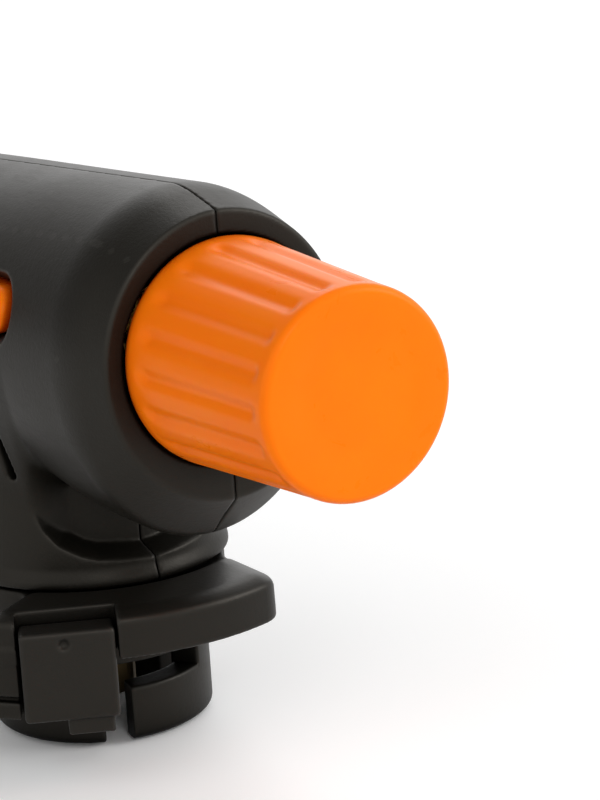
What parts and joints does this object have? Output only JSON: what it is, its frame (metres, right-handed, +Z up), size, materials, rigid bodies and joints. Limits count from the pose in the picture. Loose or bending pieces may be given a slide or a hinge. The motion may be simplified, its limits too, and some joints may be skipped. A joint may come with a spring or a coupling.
{
  "type": "gas torch head",
  "caption": "Hand-held gas torch head with a bayonet base for a fuel cartridge, a fluted flame control knob, a push button piezo igniter and a steel burner tube.",
  "frame": {"origin": "on the plane the bayonet collar stands on, midway along the torch's overall length and width", "axes": "+X forward along the barrel towards the flame, +Y towards the torch's left side (the ignition button's side), +Z up along the cartridge axis"},
  "size_m": [0.17, 0.0416, 0.0611],
  "materials": {
    "black_plastic": "satin moulded, warm black",
    "orange_plastic": "semi-gloss moulded orange",
    "brass": "turned",
    "zinc_plated_steel": "bright zinc plate",
    "stainless": "drawn tube, satin",
    "nitrile_rubber": "matte",
    "fibre": "pressed fibre, rough",
    "ceramic": "fired, slightly porous",
    "piezo_case": "moulded",
    "white_plastic": "moulded",
    "lead_insulation": "silicone sleeve"
  },
  "bodies": {
    "torch": {"alignment_key": "black_plastic", "base_flange": "black_plastic", "base_screw_1": "zinc_plated_steel", "base_screw_2": "zinc_plated_steel", "base_screw_3": "zinc_plated_steel", "base_screw_4": "zinc_plated_steel", "bayonet_collar": "black_plastic", "burner_mount": "zinc_plated_steel", "burner_tube": "stainless", "electrode_insulator": "ceramic", "flame_holder": "stainless", "gas_tube": "brass", "gland_nut": "brass", "heat_washer": "fibre", "housing_screw_1": "zinc_plated_steel", "housing_screw_2": "zinc_plated_steel", "housing_screw_3": "zinc_plated_steel", "housing_screw_4": "zinc_plated_steel", "ignition_lead": "lead_insulation", "inlet_seal": "nitrile_rubber", "inlet_stem": "brass", "jet_holder": "brass", "jet_nozzle": "brass", "left_housing": "black_plastic", "mixer_tube": "stainless", "nose_ring": "stainless", "piezo_body": "piezo_case", "piezo_spring": "stainless", "right_housing": "black_plastic", "spark_electrode": "stainless", "stem_seal": "nitrile_rubber", "valve_body": "brass"},
    "spindle_carriage": {"spindle_seal": "nitrile_rubber"},
    "knob": {"control_knob": "orange_plastic", "retaining_clip": "stainless", "valve_spindle": "zinc_plated_steel"},
    "button": {"ignition_button": "orange_plastic"},
    "plunger": {"piezo_plunger": "white_plastic"}
  },
  "joints": [
    {"name": "spindle_travel", "type": "slide", "parent": "torch", "child": "spindle_carriage", "axis": [-1, 0, 0], "range_m": [0, 0.00114]},
    {"name": "knob_turn", "type": "hinge", "parent": "spindle_carriage", "child": "knob", "pos_m": [-0.0727, 0, 0.0457], "axis": [-1, 0, 0], "range_deg": [0, 540]},
    {"name": "button_press", "type": "slide", "parent": "torch", "child": "button", "axis": [0, -1, 0], "range_m": [0, 0.0032], "stiffness_N_per_m": 600, "springref_m": -0.002},
    {"name": "piezo_stroke", "type": "slide", "parent": "torch", "child": "plunger", "axis": [0, -1, 0], "range_m": [0, 0.0032], "deforming": ["piezo_spring"]}
  ],
  "couplings": [
    {"joint": "spindle_travel", "follows": "knob_turn", "m_per_rad": 0.00011937},
    {"joint": "piezo_stroke", "follows": "button_press", "ratio": 1}
  ]
}
